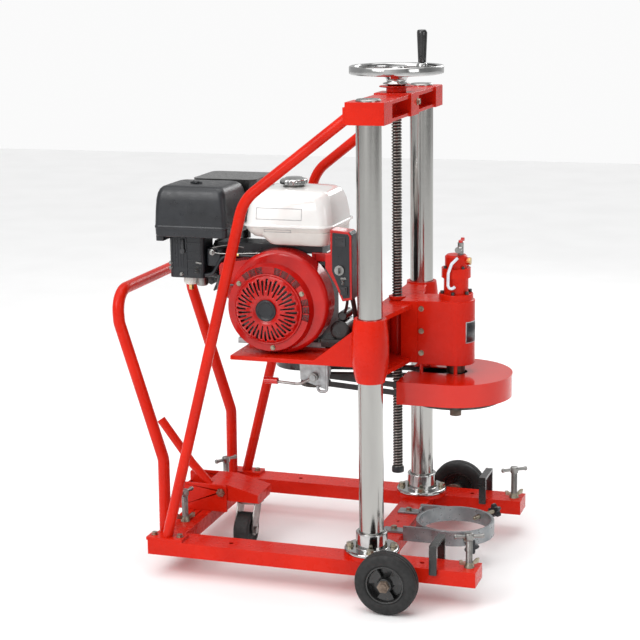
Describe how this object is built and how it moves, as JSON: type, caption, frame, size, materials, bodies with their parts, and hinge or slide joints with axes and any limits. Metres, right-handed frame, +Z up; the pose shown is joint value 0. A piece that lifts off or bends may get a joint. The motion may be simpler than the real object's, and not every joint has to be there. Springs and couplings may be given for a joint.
{
  "type": "core drill rig",
  "caption": "Petrol-engined core drill on a wheeled frame, with a carriage that a handwheel and screw feed along two columns to drill into floors.",
  "frame": {"origin": "bottom centre of the rig's bounding box, on the floor under the middle of its length and width", "axes": "+Z up along the columns, +X towards the drilling spindle, +Y to the rig's left"},
  "size_m": [1.044, 0.876, 1.452],
  "materials": {
    "red_paint": "glossy paint",
    "black_paint": "satin black paint",
    "white_paint": "glossy white paint",
    "chrome": "polished chrome",
    "steel": "machined steel",
    "dark_steel": "oiled dark steel",
    "zinc": "zinc plated",
    "grey_paint": "satin grey paint",
    "aluminium": "cast, sand finish",
    "brass": "machined brass",
    "rubber": "black rubber",
    "belt_rubber": "black belt rubber",
    "black_plastic": "textured black plastic",
    "hose_plastic": "translucent white hose",
    "cast_iron": "dark cast iron",
    "red_plastic": "glossy red plastic"
  },
  "bodies": {
    "base": {"rails": "red_paint", "crossbeams": "red_paint", "columns": "chrome", "column_flanges": "chrome", "top_beam": "red_paint", "screw_bearing": "red_paint", "stays": "red_paint", "push_handle": "red_paint", "guide_ring": "grey_paint", "rail_brackets": "black_paint", "wheel_axles": "dark_steel", "caster_bracket": "red_paint", "frame_bolts": "zinc"},
    "front_wheel_left": {"front_tyre_left": "rubber", "front_rim_left": "black_paint"},
    "front_wheel_right": {"front_tyre_right": "rubber", "front_rim_right": "black_paint"},
    "caster_lever": {"caster_carrier": "red_paint"},
    "caster_swivel": {"caster_fork": "steel"},
    "caster_roller": {"caster_wheel": "rubber"},
    "level_front_left": {"levelling_screw_front_left": "zinc"},
    "level_front_right": {"levelling_screw_front_right": "zinc"},
    "level_rear_left": {"levelling_screw_rear_left": "zinc"},
    "level_rear_right": {"levelling_screw_rear_right": "zinc"},
    "clamp_left": {"ring_clamp_left": "zinc"},
    "clamp_right": {"ring_clamp_right": "zinc"},
    "feed": {"lead_screw": "dark_steel", "handwheel": "chrome"},
    "feed_grip": {"handwheel_grip": "black_plastic"},
    "carriage": {"carriage_casting": "red_paint", "lead_nut": "red_paint", "sleeve_bushes": "brass", "spindle_housing": "red_paint", "spindle_bearings": "steel", "water_swivel": "red_paint", "engine_plate": "red_paint", "engine_block": "aluminium", "fan_cover": "red_paint", "recoil_cover": "red_paint", "fuel_tank": "white_paint", "air_cleaner": "black_plastic", "muffler": "black_paint", "carburettor": "black_plastic", "control_box": "black_plastic", "angle_drive": "black_paint", "tension_bracket": "aluminium", "belt_guard": "red_paint", "drive_belts": "belt_rubber", "carriage_bolts": "zinc", "water_hose": "hose_plastic"},
    "drill_spindle": {"spindle": "dark_steel", "spindle_pulley": "cast_iron"},
    "drive_shaft": {"drive_pulley": "cast_iron"},
    "crank": {"crankshaft": "steel"},
    "water_valve": {"valve_lever": "red_plastic"},
    "tank_cap": {"fuel_cap": "chrome"},
    "choke": {"choke_lever": "steel"},
    "key": {"ignition_key": "steel"},
    "starter": {"starter_grip": "black_plastic"},
    "belt_tensioner": {"tension_lever": "red_plastic"}
  },
  "joints": [
    {"name": "handwheel_spin", "type": "hinge", "parent": "base", "child": "feed", "pos_m": [0.206, 0, 1.34], "axis": [0, 0, 1], "range_deg": [-20250, 13050]},
    {"name": "carriage_slide", "type": "slide", "parent": "base", "child": "carriage", "axis": [0, 0, 1], "range_m": [-0.2901, 0.4501]},
    {"name": "grip_spin", "type": "hinge", "parent": "feed", "child": "feed_grip", "pos_m": [0.2508, 0.09607, 1.4], "axis": [0, 0, 1], "continuous": true},
    {"name": "spindle_spin", "type": "hinge", "parent": "carriage", "child": "drill_spindle", "pos_m": [0.369, 0, 0.51], "axis": [0, 0, 1], "continuous": true},
    {"name": "drive_pulley_spin", "type": "hinge", "parent": "carriage", "child": "drive_shaft", "pos_m": [-0.03, 0, 0.51], "axis": [0, 0, 1], "continuous": true},
    {"name": "crankshaft_spin", "type": "hinge", "parent": "carriage", "child": "crank", "pos_m": [-0.099, 0, 0.731], "axis": [0, 1, 0], "continuous": true},
    {"name": "front_wheel_left_spin", "type": "hinge", "parent": "base", "child": "front_wheel_left", "pos_m": [0.285, 0.4, 0.082], "axis": [0, 1, 0], "continuous": true},
    {"name": "front_wheel_right_spin", "type": "hinge", "parent": "base", "child": "front_wheel_right", "pos_m": [0.285, -0.4, 0.082], "axis": [0, 1, 0], "continuous": true},
    {"name": "caster_lever_swing", "type": "hinge", "parent": "base", "child": "caster_lever", "pos_m": [-0.299, 0, 0.162], "axis": [0, 1, 0], "range_deg": [-35, 0]},
    {"name": "caster_swivel_spin", "type": "hinge", "parent": "caster_lever", "child": "caster_swivel", "pos_m": [-0.234, 0, 0.13], "axis": [0, 0, 1], "continuous": true},
    {"name": "caster_wheel_spin", "type": "hinge", "parent": "caster_swivel", "child": "caster_roller", "pos_m": [-0.234, -0.038, 0.05], "axis": [1, 0, 0], "continuous": true},
    {"name": "level_front_left_raise", "type": "slide", "parent": "base", "child": "level_front_left", "axis": [0, 0, 1], "range_m": [-0.055, 0]},
    {"name": "level_front_right_raise", "type": "slide", "parent": "base", "child": "level_front_right", "axis": [0, 0, 1], "range_m": [-0.055, 0]},
    {"name": "level_rear_left_raise", "type": "slide", "parent": "base", "child": "level_rear_left", "axis": [0, 0, 1], "range_m": [-0.055, 0]},
    {"name": "level_rear_right_raise", "type": "slide", "parent": "base", "child": "level_rear_right", "axis": [0, 0, 1], "range_m": [-0.055, 0]},
    {"name": "clamp_left_feed", "type": "slide", "parent": "base", "child": "clamp_left", "axis": [0.4695, 0.8829, 0], "range_m": [-0.02, 0.02]},
    {"name": "clamp_right_feed", "type": "slide", "parent": "base", "child": "clamp_right", "axis": [0.4695, -0.8829, 0], "range_m": [-0.02, 0.02]},
    {"name": "water_valve_turn", "type": "hinge", "parent": "carriage", "child": "water_valve", "pos_m": [0.381, 0, 0.893], "axis": [0, 0, 1], "range_deg": [0, 90]},
    {"name": "fuel_cap_turn", "type": "hinge", "parent": "carriage", "child": "tank_cap", "pos_m": [-0.07, -0.04, 1.05], "axis": [0, 0, 1], "range_deg": [0, 90]},
    {"name": "choke_turn", "type": "hinge", "parent": "carriage", "child": "choke", "pos_m": [-0.354, -0.15, 0.872], "axis": [0, -1, 0], "range_deg": [0, 60]},
    {"name": "key_turn", "type": "hinge", "parent": "carriage", "child": "key", "pos_m": [0.096, -0.167, 0.842], "axis": [0, -1, 0], "range_deg": [0, 90]},
    {"name": "starter_pull", "type": "slide", "parent": "carriage", "child": "starter", "axis": [-1, 0, 0], "range_m": [0, 0.12], "stiffness_N_per_m": 40},
    {"name": "tensioner_swing", "type": "hinge", "parent": "carriage", "child": "belt_tensioner", "pos_m": [0.01, -0.14, 0.54], "axis": [0, 1, 0], "range_deg": [-25, 10]}
  ],
  "couplings": [
    {"joint": "carriage_slide", "follows": "handwheel_spin", "m_per_rad": -0.0012732},
    {"joint": "drive_pulley_spin", "follows": "spindle_spin", "ratio": 2.9762},
    {"joint": "crankshaft_spin", "follows": "spindle_spin", "ratio": 2.9762}
  ]
}
